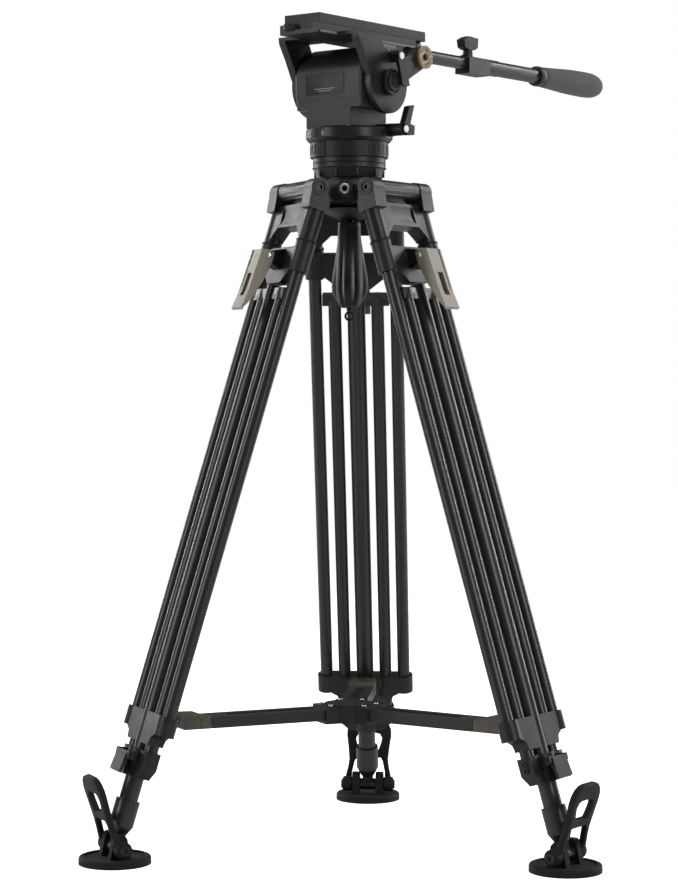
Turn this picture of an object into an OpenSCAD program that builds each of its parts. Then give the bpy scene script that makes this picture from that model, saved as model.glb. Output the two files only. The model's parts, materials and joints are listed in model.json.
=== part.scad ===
// Two-stage twin-tube tripod with a mid-level spreader and a fluid head.
// The floor is z = 0 and the Z axis runs up through the middle of the bowl.
// Leg 1 is front left, leg 2 is front right and leg 3 is at the rear.

/* [Stance] */
// Height of the leg hinge axes above the floor
hinge_z = 792; // [700:1:1100]
// Distance of the leg hinge axes from the middle
hinge_r = 67; // [64:0.5:80]
// Angle of the legs from the vertical
splay = 17.5; // [14:0.5:20]
// How far the tube plane lies inside the hinge axis
tube_in = 7; // [5:0.5:9]

/* [Leg tubes] */
// Outside diameter of the outer and middle tubes
tube_d = 16; // [13:0.5:18]
// Wall of the leg tubes
tube_wall = 1.2; // [0.8:0.1:2]
// Half the distance between the outer tubes
outer_half = 51; // [50:0.5:60]
// Half the distance between the middle tubes
mid_half = 27; // [24:0.5:28.5]
// Outside diameter of the lowest tube
lower_d = 22.5; // [18:0.5:24]
// Distance of the lower casting above the ankle, along the leg
casting_up = 162; // [150:1:200]
// Distance of the middle block above the ankle, along the leg
block_up = 117; // [110:1:140]

/* [Leg castings] */
// Radius of the sleeves that hold the outer tubes
sleeve_r = 12; // [10.5:0.5:13]
// Diameter of the leg hinge pins
hinge_pin_d = 10; // [8:0.5:12]
// Width of a lock lever
lever_w = 30; // [24:1:34]
// Length of a lock lever below its pin
lever_len = 72; // [60:1:80]

/* [Feet] */
// Diameter of a rubber foot pad
pad_d = 85; // [70:1:100]
// Thickness of the pad's disc
pad_t = 9; // [6:0.5:12]
// Height of the ankle axis above the floor
ankle_z = 20; // [18:0.5:26]
// Diameter of the ankle axle
ankle_d = 6; // [5:0.5:8]
// Height of the rubber strap's top above the floor
strap_top = 106; // [90:1:115]

/* [Spreader] */
// Height of the arms above the floor
arm_z = 160; // [150:1:175]
// Width of an arm
arm_w = 34; // [28:1:38]
// Depth of an arm
arm_h = 14; // [12:0.5:16]

/* [Bowl and ball] */
// Radius of the bowl's seat
bowl_r = 37.5; // [30:0.5:40]
// Height of the crown casting's top above the leg hinge axes
crown_up = 12; // [11:0.5:14]
// Radius of the tie-down stud
stud_r = 5; // [4:0.25:6]

/* [Fluid head] */
// Direction of the operator's side, counted from +X
head_angle = 57.3; // [0:0.1:360]
// Height of the tilt axis above the middle of the ball
tilt_up = 115; // [109:1:124]
// Radius of the pan drag ring
ring_r = 47.3; // [44:0.1:50]
// Radius of the pan housing's flange
flange_r = 52.5; // [50:0.5:54]
// Radius of the tilting side plates round the tilt axis
disc_r = 37; // [32:0.5:38]
// Width of the camera plate
plate_w = 53; // [46:1:54]
// Length of the camera plate
plate_l = 213; // [160:1:230]
// Height of the camera plate's top above the tilt axis
plate_up = 76; // [73:0.5:79]

/* [Pan bar] */
// Distance of the rosettes behind the tilt axis
rosette_x = 71; // [66:0.5:80]
// Radius of a rosette
rosette_r = 14; // [12:0.5:16]
// Length of the pan bar from the rosette to the end of the grip
bar_l = 436; // [380:1:480]
// Outside diameter of the bar's tube
bar_d = 16; // [14:0.5:18]
// Largest diameter of the foam grip
grip_d = 34; // [30:0.5:38]

/* [Hidden] */
$fn = 64;
LEGS = [210, 330, 90];
fit = 0.05;
gap = 0.4;
// leg stations, counted down the leg from the hinge axis
ankle_s = (hinge_z - tube_in * sin(splay) - ankle_z) / cos(splay);
ankle_r = hinge_r - tube_in * cos(splay) + ankle_s * sin(splay);
seam_s = 65;
plate_s = 71;
lever_s = 89;
lever_x = 19.5;
guide_s = 123;
cast_s = ankle_s - casting_up;
block_s = ankle_s - block_up;
block_h = 33;
socket_s = ankle_s - 56;
tube_r = tube_d / 2;
lower_r = lower_d / 2;
// pin of the lower clamp lever, in the leg frame
clamp_x = lower_r - tube_in + 9.5;
clamp_s = block_s + 9;
pin_r = hinge_pin_d / 2;
barrel_half = 39;
lug_half = lever_w / 2 - 4.4;
knuckle_out = 63;
barrel_r = 11.5;
cheek_in = 10.7;
cheek_t = 10;
eye_t = 13;
eye_r = 12;
strap_y0 = cheek_in + cheek_t + gap;
strap_lean = 17;
ankle_pin_r = ankle_d / 2;
// the pin that the spreader tip hooks over, in the leg frame
hook_x = -tube_in - sleeve_r - 9;
hook_s = (hinge_z + hook_x * sin(splay) - arm_z - 4) / cos(splay);
hook_r = hinge_r + hook_x * cos(splay) + hook_s * sin(splay);
arm_end = hook_r - 48;
arm_wall = 2.6;
port_y = bowl_r + 30;
crown_top = hinge_z + crown_up;
ball_z = crown_top + 2;
tilt_z = ball_z + tilt_up;
plate_top = tilt_z + plate_up;
ball_r = bowl_r - 0.3;
seat_wall = 5.5;
cup_wall = 5.5;
cup_low = ball_z - bowl_r - seat_wall - 0.3 - cup_wall;
handle_top = cup_low - 1;
handle_low = handle_top - 104;
skirt_z = ball_z + 2.5;
ball_flange_z = ball_z + 14;
ring_z = ball_z + 27;
flange_z = ball_z + 46;
block_z = ball_z + 62.5;
spindle_r = 30;
lock_x = 14;
lock_y = 55;
lock_z = flange_z + 13.5;
platform_h = 12;
plate_h = 12;
platform_z = plate_top - plate_h - platform_h;
platform_half = plate_w / 2 + 2;
tail_half = plate_w / 2 - 5;
latch_x = 10;
latch_y = -plate_w / 2 + 1.5;
side_in = 50;
side_out = 60;
shaft_r = 8;
tilt_lock_x = 6;
tilt_lock_z = tilt_z + 31;
rosette_z = tilt_z + 37;
bar_z = rosette_z + 6;
bar_y = side_in - 10;
bar_r = bar_d / 2;
inner_r = bar_r - 2;
screw_x = 0;
screw_r = 4.7625;
screw_up = 5.5;
screw_free = 4.5;
bolt_r = 4.5;
spare_r = 4;
collar_x = rosette_x + 111;
grip_x = rosette_x + bar_l - 145;

// puts its children in the frame of the leg at angle a: +X out, -Z down the leg
module in_leg(a)
    rotate([0, 0, a])
        translate([hinge_r, 0, hinge_z])
            rotate([0, -splay, 0])
                children();

// moves its children down the tube plane to station s, y to the side
module on_tubes(s, y = 0)
    translate([-tube_in, y, -s])
        children();

// puts its children over the foot of the leg at angle a, upright, +X out
module at_foot(a)
    rotate([0, 0, a])
        translate([ankle_r, 0, 0])
            children();

// turns the head: +X to the operator, -Y to the side with the levers
module in_head()
    rotate([0, 0, head_angle])
        children();

// a cylinder that lies across, from y0 to y1
module across(r, y0, y1)
    translate([0, y1, 0])
        rotate([90, 0, 0])
            cylinder(r = r, h = y1 - y0);

// an outline in x and height that is extruded across, from y0 to y1
module slab(y0, y1)
    translate([0, y1, 0])
        rotate([90, 0, 0])
            linear_extrude(height = y1 - y0)
                children();

// an outline in y and height that is extruded outward, from x0 to x1
module panel(x0, x1)
    translate([x0, 0, 0])
        rotate([90, 0, 90])
            linear_extrude(height = x1 - x0)
                children();

module pair()
    for (side = [-1, 1])
        scale([1, side, 1])
            children();

module yoke(a)
    color([0.16, 0.16, 0.17])
    in_leg(a)
    difference() {
        union() {
            for (side = [-1, 1])
                yoke_arm(side);
            translate([-tube_in, 0, 0])
                panel(-9, 9)
                    bridge_outline();
        }
        across(pin_r + fit, -knuckle_out - 1, knuckle_out + 1);
        for (side = [-1, 1])
            on_tubes(seam_s + 1, side * outer_half)
                cylinder(r = tube_r, h = 30);
        translate([30 + 2, 0, -32])
            across(32, -24, 24);
    }

module yoke_arm(side) {
    inner = barrel_half + gap;
    outer_face = side * knuckle_out;
    y0 = min(side * inner, outer_face);
    y1 = max(side * inner, outer_face);
    across(barrel_r, y0, y1);
    slab(y0, y1)
        polygon([[-11, -2], [10.5, -3], [8, -26], [-18, -26], [-17, -14]]);
    on_tubes(seam_s, side * outer_half)
        cylinder(r = sleeve_r - 1, h = seam_s - 14);
}

module bridge_outline() {
    half = outer_half - 6;
    difference() {
        polygon([[-half, -18], [half, -18], [half, -60], [-half, -60]]);
        polygon([[-28, -46], [28, -46], [41, -58], [41, -61], [-41, -61], [-41, -58]]);
    }
}

module brace(a)
    color([0.16, 0.16, 0.17])
    in_leg(a)
    difference() {
        union() {
            for (side = [-1, 1])
                on_tubes(seam_s + 38, side * outer_half)
                    cylinder(r = sleeve_r, h = 38);
            translate([-tube_in, 0, 0])
                panel(-6, 6)
                    brace_outline();
            slab(-lug_half, lug_half)
                polygon([[-tube_in, -plate_s], [lever_x, -lever_s + 6],
                    [lever_x, -lever_s - 6], [-tube_in, -lever_s - 12]]);
            translate([lever_x, 0, -lever_s])
                across(6, -lug_half, lug_half);
        }
        for (side = [-1, 1])
            on_tubes(seam_s + 39, side * outer_half)
                cylinder(r = tube_r, h = 40);
        translate([lever_x, 0, -lever_s])
            across(2.5 + fit, -lug_half - 1, lug_half + 1);
    }

module brace_outline() {
    half = outer_half - 8;
    polygon([[-half, -plate_s], [half, -plate_s], [half, -97], [19, -116], [-19, -116], [-half, -97]]);
}

module upper_tubes(a)
    color([0.11, 0.11, 0.12])
    in_leg(a)
    for (side = [-1, 1])
        on_tubes(cast_s + 18, side * outer_half)
            difference() {
                cylinder(r = tube_r, h = cast_s + 18 - seam_s + 27);
                translate([0, 0, -1])
                    cylinder(r = tube_r - tube_wall, h = cast_s + 18 - seam_s + 30);
            }

module lower_casting(a)
    color([0.15, 0.15, 0.16])
    in_leg(a) {
        casting_body();
        // pin that the spreader's hook closes round
        translate([hook_x, 0, -hook_s])
            across(2.5, -arm_w / 2 - 4, arm_w / 2 + 4);
    }

module casting_body()
    difference() {
        union() {
            translate([-tube_in, 0, 0])
                panel(-10, 10)
                    casting_outline();
            for (side = [-1, 1])
                on_tubes(cast_s + 23, side * outer_half)
                    cylinder(r = sleeve_r, h = 23);
            slab(-arm_w / 2 - 6, arm_w / 2 + 6)
                polygon([[-tube_in, -cast_s - 1], [hook_x - 5, -hook_s + 7],
                    [hook_x - 5, -hook_s - 4], [-tube_in - 8, -cast_s - 30]]);
        }
        // room for the spreader's tip between the two cheeks
        translate([hook_x - 12, -arm_w / 2 - 1.2, -hook_s - 26])
            cube([2 - tube_in - hook_x, arm_w + 2.4, 44]);
        for (side = [-1, 1]) {
            on_tubes(cast_s + 18, side * outer_half)
                cylinder(r = tube_r, h = 30);
            on_tubes(cast_s + 60, side * mid_half)
                cylinder(r = tube_r + fit, h = 80);
        }
        on_tubes(cast_s + 60)
            cylinder(r = lower_r + 0.5, h = 80);
    }

module casting_outline() {
    half = outer_half + 4;
    polygon([[-half, -cast_s], [half, -cast_s], [half, -cast_s - 18], [37, -cast_s - 28],
        [34, -cast_s - 37], [-34, -cast_s - 37], [-37, -cast_s - 28], [-half, -cast_s - 18]]);
}

module lock_lever(a)
    color([0.62, 0.57, 0.46])
    in_leg(a)
    difference() {
        union() {
            pair()
                slab(lever_w / 2 - 3, lever_w / 2)
                    lever_side();
            slab(-lever_w / 2, lever_w / 2)
                lever_face();
            translate([lever_x, 0, -lever_s])
                across(2.5, -lever_w / 2 - 1.5, lever_w / 2 + 1.5);
        }
        // finger slot through the face
        translate([lever_x - 4, -5.5, -lever_s - 54])
            cube([40, 11, 29]);
    }

module lever_side()
    polygon([[lever_x - 6, -lever_s + 5], [lever_x, -lever_s + 7], [lever_x + 11, -lever_s + 5],
        [lever_x + 14, -lever_s - lever_len + 2], [lever_x + 9, -lever_s - lever_len + 10],
        [lever_x - 1, -lever_s - 34], [lever_x - 6, -lever_s - 8]]);

module lever_face()
    polygon([[lever_x + 6.6, -lever_s + 5], [lever_x + 10, -lever_s + 5],
        [lever_x + 12.5, -lever_s - 45], [lever_x + 16, -lever_s - lever_len + 2],
        [lever_x + 13.5, -lever_s - lever_len], [lever_x + 9.5, -lever_s - 45]]);

module mid_tubes(a)
    color([0.11, 0.11, 0.12])
    in_leg(a)
    difference() {
        union() {
            for (side = [-1, 1])
                on_tubes(block_s + 10, side * mid_half)
                    cylinder(r = tube_r, h = block_s + 10 - guide_s);
            // guide that keeps the pair together between the outer tubes
            translate([-tube_in - 7, -outer_half + tube_r + 1, -guide_s - 14])
                cube([14, 2 * (outer_half - tube_r - 1), 14]);
        }
        for (side = [-1, 1])
            on_tubes(block_s + 11, side * mid_half)
                cylinder(r = tube_r - tube_wall, h = block_s - guide_s - 20);
        on_tubes(guide_s + 15)
            cylinder(r = lower_r + 0.5, h = 16);
    }

module mid_block(a)
    color([0.15, 0.15, 0.16])
    in_leg(a)
    difference() {
        union() {
            translate([-tube_in, 0, 0])
                panel(-9.5, 9.5)
                    block_outline();
            on_tubes(block_s + block_h)
                cylinder(r = lower_r + 5.5, h = block_h);
            for (side = [-1, 1])
                on_tubes(block_s + 14, side * mid_half)
                    cylinder(r = tube_r + 2.5, h = 14);
            // lugs for the clamp lever's pin
            pair()
                slab(16, 21)
                    polygon([[-tube_in + 6, -block_s - 3], [clamp_x + 3.5, -block_s - 5],
                        [clamp_x + 3.5, -block_s - 13], [-tube_in + 6, -block_s - 17]]);
        }
        for (side = [-1, 1])
            on_tubes(block_s + 10, side * mid_half)
                cylinder(r = tube_r, h = 12);
        on_tubes(block_s + block_h + 1)
            cylinder(r = lower_r + fit, h = block_h + 2);
        translate([clamp_x, 0, -clamp_s])
            across(1.8 + fit, -25, 25);
    }

module block_outline() {
    top = -block_s;
    low = -block_s - block_h;
    polygon([[-36, top], [36, top], [36, low + 13], [22, low], [-22, low], [-36, low + 13]]);
}

module lower_lever(a)
    color([0.12, 0.12, 0.13])
    in_leg(a)
    union() {
        translate([clamp_x, 0, -clamp_s]) {
            slab(-15.6, 15.6)
                polygon([[-2.8, 1], [-1, 2.8], [2.5, 3.5], [4.5, 1], [7, -22],
                    [3.8, -23.5], [1.5, -12], [-2.2, -2.5]]);
            across(1.8, -22.5, 22.5);
        }
    }

module lower_leg(a)
    color([0.11, 0.11, 0.12])
    in_leg(a)
    on_tubes(ankle_s)
    difference() {
        union() {
            translate([0, 0, ankle_s - socket_s - 6])
                cylinder(r = lower_r, h = socket_s + 6 - guide_s + 4);
            translate([0, 0, 26])
                cylinder(r = 14.5, h = 30);
            translate([0, 0, 14])
                cylinder(r1 = 8.5, r2 = 14.5, h = 12);
            cylinder(r = 7, h = 15);
            across(7.5, -cheek_in + gap, cheek_in - gap);
        }
        across(ankle_pin_r + fit, -cheek_in, cheek_in);
        translate([0, 0, 60])
            cylinder(r = lower_r - 1.6, h = ankle_s);
    }

module foot_pad(a)
    color([0.10, 0.10, 0.10])
    at_foot(a)
    union() {
        difference() {
            union() {
                cylinder(r = pad_d / 2, h = pad_t - 2);
                translate([0, 0, pad_t - 2])
                    cylinder(r1 = pad_d / 2, r2 = pad_d / 2 - 2, h = 2);
            }
            translate([0, 0, pad_t - 1.5])
                cylinder(r = pad_d / 2 - 6, h = 3);
        }
        pair()
            slab(cheek_in, cheek_in + cheek_t)
                polygon([[-13, pad_t - 2], [13, pad_t - 2], [8, ankle_z + 12], [4, ankle_z + 16],
                    [-4, ankle_z + 16], [-8, ankle_z + 12]]);
        translate([0, 0, ankle_z])
            across(ankle_pin_r, -cheek_in - cheek_t - eye_t, cheek_in + cheek_t + eye_t);
    }

module foot_strap(a)
    color([0.09, 0.09, 0.09])
    at_foot(a)
    difference() {
        union() {
            pair()
                translate([0, 0, ankle_z + 2])
                    across(eye_r - 2, strap_y0, strap_y0 + eye_t);
            strap_body();
        }
        translate([0, 0, ankle_z])
            across(ankle_pin_r + fit, -40, 40);
    }

module strap_body()
    translate([2, 0, ankle_z])
        rotate([0, strap_lean, 0])
            panel(-2, 6)
                difference() {
                    strap_outline();
                    strap_hole();
                }

module strap_outline() {
    top = (strap_top - ankle_z) / cos(strap_lean);
    wide = strap_y0 + eye_t - 1;
    polygon([[-wide, 0], [-26, 32], [-30, top - 20], [-26, top - 6], [-15, top],
        [15, top], [26, top - 6], [30, top - 20], [26, 32], [wide, 0],
        [strap_y0 + 0.6, 0], [strap_y0 + 0.6, 19], [16, 36], [-16, 36], [-strap_y0 - 0.6, 19],
        [-strap_y0 - 0.6, 0]]);
}

module strap_hole() {
    top = (strap_top - ankle_z) / cos(strap_lean);
    polygon([[-13, 46], [13, 46], [18, top - 27], [14, top - 21], [-14, top - 21], [-18, top - 27]]);
}

module spreader_tip(a)
    color([0.50, 0.46, 0.36])
    rotate([0, 0, a])
    difference() {
        union() {
            // bar that slides inside the arm
            translate([arm_end - 108, -arm_w / 2 + arm_wall + 0.2, arm_z - arm_h / 2 + arm_wall + 0.2])
                cube([110, arm_w - 2 * arm_wall - 0.4, arm_h - 2 * arm_wall - 0.4]);
            translate([arm_end + 0.3, -arm_w / 2, arm_z - arm_h / 2])
                cube([34, arm_w, arm_h]);
            slab(-arm_w / 2, arm_w / 2)
                polygon([[arm_end + 6, arm_z + arm_h / 2 - 1], [arm_end + 12, arm_z + arm_h / 2 + 3.5],
                    [hook_r + 1, arm_z + 11.5], [hook_r + 5, arm_z + 9], [hook_r + 5, arm_z + 7],
                    [hook_r - 8, arm_z + 5], [hook_r - 14, arm_z]]);
        }
        // open hook that clears the pin on the leg
        translate([hook_r, 0, arm_z + 4])
            across(4.8, -arm_w, arm_w);
        translate([hook_r - 7, 0, arm_z - 3.5])
            across(6.5, -arm_w, arm_w);
    }

module spreader_hub()
    color([0.14, 0.14, 0.15])
    difference() {
        union() {
            translate([0, 0, arm_z - 11])
                cylinder(r = 30, h = 22);
            for (a = LEGS)
                rotate([0, 0, a])
                    translate([10, -arm_w / 2 - 3, arm_z - 11])
                        cube([30, arm_w + 6, 21]);
        }
        for (a = LEGS)
            rotate([0, 0, a])
                translate([22, -arm_w / 2, arm_z - arm_h / 2])
                    cube([40, arm_w, arm_h]);
    }

module spreader_arms()
    color([0.12, 0.12, 0.13])
    for (a = LEGS)
        rotate([0, 0, a])
            difference() {
                translate([22, -arm_w / 2, arm_z - arm_h / 2])
                    cube([arm_end - 22, arm_w, arm_h]);
                translate([30, -arm_w / 2 + arm_wall, arm_z - arm_h / 2 + arm_wall])
                    cube([arm_end, arm_w - 2 * arm_wall, arm_h - 2 * arm_wall]);
            }

module crown()
    color([0.15, 0.15, 0.16])
    difference() {
        union() {
            for (a = LEGS)
                rotate([0, 0, a])
                    crown_shoulder();
            translate([0, 0, hinge_z - 14])
                cylinder(r = bowl_r + 13, h = crown_top - 1.5 - hinge_z + 14);
            translate([0, 0, crown_top - 1.5])
                cylinder(r1 = bowl_r + 13, r2 = bowl_r + 11.5, h = 1.5);
            // round underside of the bowl
            intersection() {
                translate([0, 0, ball_z])
                    sphere(r = bowl_r + seat_wall);
                translate([0, 0, ball_z - 60])
                    cylinder(r = 60, h = 40);
            }
            translate([0, 0, hinge_z])
                rotate([90, 0, 0])
                    cylinder(r = 9, h = port_y);
        }
        translate([0, 0, ball_z])
            sphere(r = bowl_r);
        translate([0, 0, ball_z - 60])
            cylinder(r = 14, h = 60);
        for (a = LEGS)
            rotate([0, 0, a])
                translate([hinge_r, 0, hinge_z])
                    across(pin_r, -barrel_half - 1, barrel_half + 1);
        translate([0, -port_y - 1, hinge_z])
            rotate([-90, 0, 0])
                cylinder(r = 3.175, h = 13);
    }

module crown_shoulder() {
    translate([hinge_r, 0, hinge_z])
        across(barrel_r - 1, -barrel_half, barrel_half);
    slab(-barrel_half, barrel_half)
        polygon([[24, hinge_z - 14], [hinge_r - 12, hinge_z - 14], [hinge_r - 3, hinge_z - 10],
            [hinge_r, hinge_z + 10.5], [hinge_r - 14, crown_top - 1], [24, crown_top - 1]]);
}

module hinge_pins()
    color([0.25, 0.25, 0.26])
    for (a = LEGS)
        rotate([0, 0, a])
            translate([hinge_r, 0, hinge_z])
                difference() {
                    across(pin_r, -knuckle_out + 0.5, knuckle_out - 0.5);
                    for (y = [-knuckle_out - 1, knuckle_out - 4])
                        translate([0, y + 5, 0])
                            rotate([90, 0, 0])
                                cylinder(r = 2.9, h = 5, $fn = 6);
                }

module clamp_cup()
    color([0.13, 0.13, 0.14])
    difference() {
        translate([0, 0, ball_z])
            sphere(r = bowl_r + seat_wall + 0.3 + cup_wall);
        translate([0, 0, ball_z])
            sphere(r = bowl_r + seat_wall + 0.3);
        translate([0, 0, ball_z - 34])
            cylinder(r = 60, h = 100);
        translate([0, 0, ball_z - 60])
            cylinder(r = stud_r + 4.5, h = 60);
    }

module half_ball()
    color([0.15, 0.15, 0.16])
    union() {
        intersection() {
            translate([0, 0, ball_z])
                sphere(r = ball_r);
            translate([0, 0, ball_z - 31])
                cylinder(r = 60, h = 31);
        }
        translate([0, 0, ball_z - 1])
            cylinder(r = bowl_r - 2, h = skirt_z - ball_z + 2);
        translate([0, 0, skirt_z])
            cylinder(r1 = 40, r2 = 43, h = ball_flange_z - skirt_z);
        translate([0, 0, ball_flange_z])
            cylinder(r = 44, h = ring_z - ball_flange_z - gap);
        // stud for the tie-down handle below, spindle for the head above
        translate([0, 0, handle_low + 30])
            cylinder(r = stud_r, h = ball_z - handle_low - 50);
        translate([0, 0, ring_z - 1])
            cylinder(r = spindle_r, h = flange_z - ring_z + 1 - gap);
        translate([0, 0, flange_z - 1])
            cylinder(r = 14, h = 18);
    }

module tie_handle()
    color([0.12, 0.12, 0.13])
    difference() {
        union() {
            translate([0, 0, handle_top - 22])
                cylinder(r = 14, h = 22);
            translate([0, 0, handle_top - 68])
                cylinder(r1 = 17, r2 = 14, h = 46);
            translate([0, 0, handle_low + 12])
                cylinder(r1 = 13, r2 = 17, h = handle_top - 68 - handle_low - 12);
            translate([0, 0, handle_low])
                cylinder(r1 = 12, r2 = 13, h = 12);
            for (a = [30, 150, 270])
                rotate([0, 0, a])
                    slab(-4, 4)
                        polygon([[8, handle_top - 18], [14.5, handle_top - 22], [25, handle_top - 66],
                            [25, handle_top - 84], [14, handle_low + 8], [8, handle_low + 6]]);
            // hanging eye
            slab(-2.5, 2.5)
                polygon([[-6, handle_low + 1], [6, handle_low + 1], [6, handle_low - 14],
                    [3, handle_low - 18], [-3, handle_low - 18], [-6, handle_low - 14]]);
        }
        translate([0, 0, handle_low + 29])
            cylinder(r = stud_r + fit, h = 100);
        translate([0, 0, handle_low - 11])
            across(3, -4, 4);
    }

module drag_ring()
    color([0.15, 0.15, 0.16])
    difference() {
        translate([0, 0, ring_z])
            cylinder(r = ring_r, h = flange_z - ring_z - gap);
        translate([0, 0, ring_z - 1])
            cylinder(r = spindle_r + fit, h = 40);
        in_head()
            translate([-ring_r, 0, ring_z - 1])
                cylinder(r = 1.2, h = 40);
    }

module pan_housing()
    color([0.16, 0.16, 0.17])
    difference() {
        union() {
            translate([0, 0, flange_z])
                cylinder(r1 = flange_r - 3.5, r2 = flange_r, h = 4);
            translate([0, 0, flange_z + 4])
                cylinder(r = flange_r, h = block_z - flange_z - 6);
            translate([0, 0, block_z - 2])
                cylinder(r1 = flange_r, r2 = flange_r - 2, h = 2);
            in_head() {
                translate([-42, -33, block_z - 1])
                    cube([72, 66, tilt_z - 30 - block_z]);
                translate([lock_x, 0, lock_z])
                    across(8, -lock_y, -30);
            }
        }
        translate([0, 0, flange_z - 1])
            cylinder(r = 14 + fit, h = 18.5);
        in_head()
            translate([lock_x, 0, lock_z])
                across(2.5 + fit, -lock_y - 1, -lock_y + 12);
    }

module pan_lever()
    color([0.13, 0.13, 0.14])
    in_head() {
        translate([lock_x, 0, lock_z])
            across(2.5, -lock_y - 1, -lock_y + 11);
        translate([lock_x, 0, lock_z])
            across(7.5, -lock_y - 17, -lock_y - gap);
        slab(-lock_y - 20, -lock_y - 12)
            polygon([[lock_x - 2, lock_z + 7], [lock_x + 3, lock_z - 7], [lock_x + 17, lock_z - 6],
                [lock_x + 18, lock_z + 5], [lock_x + 9, lock_z + 7], [lock_x + 17, lock_z + 30],
                [lock_x + 7, lock_z + 28]]);
    }

module tilt_housing()
    color([0.15, 0.15, 0.16])
    in_head()
    difference() {
        slab(-side_in + gap, side_in - gap)
            housing_outline();
        translate([0, 0, tilt_z])
            across(shaft_r, -side_in, side_in);
    }

module housing_outline()
    polygon([[-41, tilt_z - 20], [-43, tilt_z - 16], [-43, tilt_z + 13], [-38, tilt_z + 24],
        [-30, tilt_z + 33.5], [-20, tilt_z + 40], [-7, tilt_z + 44.4], [7, tilt_z + 44.4],
        [20, tilt_z + 40], [30, tilt_z + 33.5], [38, tilt_z + 24], [43, tilt_z + 12],
        [43, tilt_z - 14], [30, tilt_z - 31], [-41, tilt_z - 31]]);

module tilt_shaft()
    color([0.45, 0.45, 0.47])
    in_head()
    translate([0, 0, tilt_z]) {
        across(shaft_r, -side_out - gap, side_out + gap);
        across(5, -side_out - 9, -side_out);
    }

module side_plates()
    color([0.20, 0.20, 0.21])
    in_head()
    difference() {
        pair()
            side_plate();
        translate([0, 0, tilt_z])
            across(shaft_r + fit, -70, 70);
        translate([rosette_x, 0, rosette_z]) {
            across(bolt_r, -70, 0);
            across(spare_r, 0, 70);
        }
        translate([tilt_lock_x, 0, tilt_lock_z])
            across(3 + fit, -side_out - 1, -side_in + 1);
    }

module side_plate() {
    translate([0, 0, tilt_z])
        across(disc_r, -side_out, -side_in);
    // ear that rises to the platform
    slab(-side_out, -side_in)
        polygon([[-36, tilt_z + 4], [-50, tilt_z + 30], [-62, platform_z - 3], [-62, platform_z],
            [-14, platform_z], [-8, tilt_z + 41], [20, tilt_z + 30]]);
    // arm that carries the rosette
    slab(-side_out, -side_in)
        polygon([[20, tilt_z + 28], [rosette_x - 8, rosette_z + 10], [rosette_x + 7, rosette_z - 10],
            [34, tilt_z + 4]]);
    translate([rosette_x, 0, rosette_z])
        across(rosette_r - 1, -side_out, -side_in);
}

module platform()
    color([0.42, 0.42, 0.43])
    in_head()
    difference() {
        union() {
            translate([-98, -platform_half, platform_z])
                cube([196, 2 * platform_half, platform_h - gap]);
            translate([-62, -side_out, platform_z + 0.01])
                cube([48, 2 * side_out, 4]);
        }
        // dovetail channel under the camera plate
        translate([-110, 0, platform_z + 5])
            rotate([90, 0, 90])
                linear_extrude(height = 220)
                    polygon([[-tail_half - 0.25, 0], [tail_half + 0.25, 0],
                        [tail_half - 3.25, 10], [-tail_half + 3.25, 10]]);
        translate([latch_x, latch_y, platform_z - 1])
            cylinder(r = 2.5 + fit, h = 5.5);
    }

module rosettes()
    color([0.66, 0.58, 0.42])
    in_head()
    for (side = [-1, 1])
        translate([rosette_x, side * side_out, rosette_z])
            rotate([side * -90, 0, 0])
                difference() {
                    union() {
                        cylinder(r = rosette_r, h = 2.5);
                        rosette_teeth();
                    }
                    translate([0, 0, -1])
                        cylinder(r = side > 0 ? spare_r : bolt_r, h = 10);
                }

// radial teeth round the rim, all of one solid with the disc
module rosette_teeth()
    difference() {
        translate([0, 0, 2.4])
            cylinder(r = rosette_r, h = 1.3);
        translate([0, 0, 2])
            cylinder(r = 8, h = 3);
        for (i = [0:23])
            rotate([0, 0, i * 15])
                translate([7, -0.8, 2.6])
                    cube([10, 1.6, 3]);
    }

module drag_knob()
    color([0.10, 0.10, 0.10])
    in_head()
    translate([0, 0, tilt_z])
        difference() {
            union() {
                across(16, -side_out - 7, -side_out - 1);
                across(11, -side_out - 9, -side_out - 6);
            }
            across(5 + fit, -80, -50);
        }

module tilt_lever()
    color([0.12, 0.12, 0.13])
    in_head() {
        translate([tilt_lock_x, 0, tilt_lock_z]) {
            across(3, -side_out - 1, -side_in);
            across(7, -side_out - 14, -side_out - gap);
        }
        slab(-side_out - 14, -side_out - 9.6)
            polygon([[tilt_lock_x - 7, tilt_lock_z], [tilt_lock_x + 7, tilt_lock_z],
                [tilt_lock_x + 17, tilt_lock_z - 34], [tilt_lock_x + 10, tilt_lock_z - 36],
                [tilt_lock_x + 3, tilt_lock_z - 34]]);
    }

module plate_lever()
    color([0.50, 0.50, 0.51])
    in_head() {
        translate([latch_x, latch_y, platform_z - 4.6])
            cylinder(r = 5.5, h = 4.3);
        translate([latch_x, latch_y, platform_z - 1])
            cylinder(r = 2.5, h = 5);
        translate([latch_x - 2, latch_y - 7, platform_z - 4.6])
            cube([44, 8, 3.8]);
    }

module camera_plate()
    color([0.11, 0.11, 0.12])
    in_head()
    difference() {
        union() {
            translate([-92, -plate_w / 2, plate_top - plate_h])
                cube([plate_l, plate_w, plate_h]);
            translate([-92, 0, platform_z + 5.25])
                rotate([90, 0, 90])
                    linear_extrude(height = plate_l)
                        polygon([[-tail_half, 0], [tail_half, 0], [tail_half - 3, 9], [-tail_half + 3, 9]]);
        }
        translate([screw_x, 0, platform_z])
            cylinder(r = screw_r - 0.4 + fit, h = 60);
        translate([screw_x, 0, platform_z])
            cylinder(r = 9 + gap, h = 13);
        // wider mouth that lets the screw's free end pass
        translate([screw_x, 0, plate_top - 2])
            cylinder(r = screw_r + gap, h = 3);
    }

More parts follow.
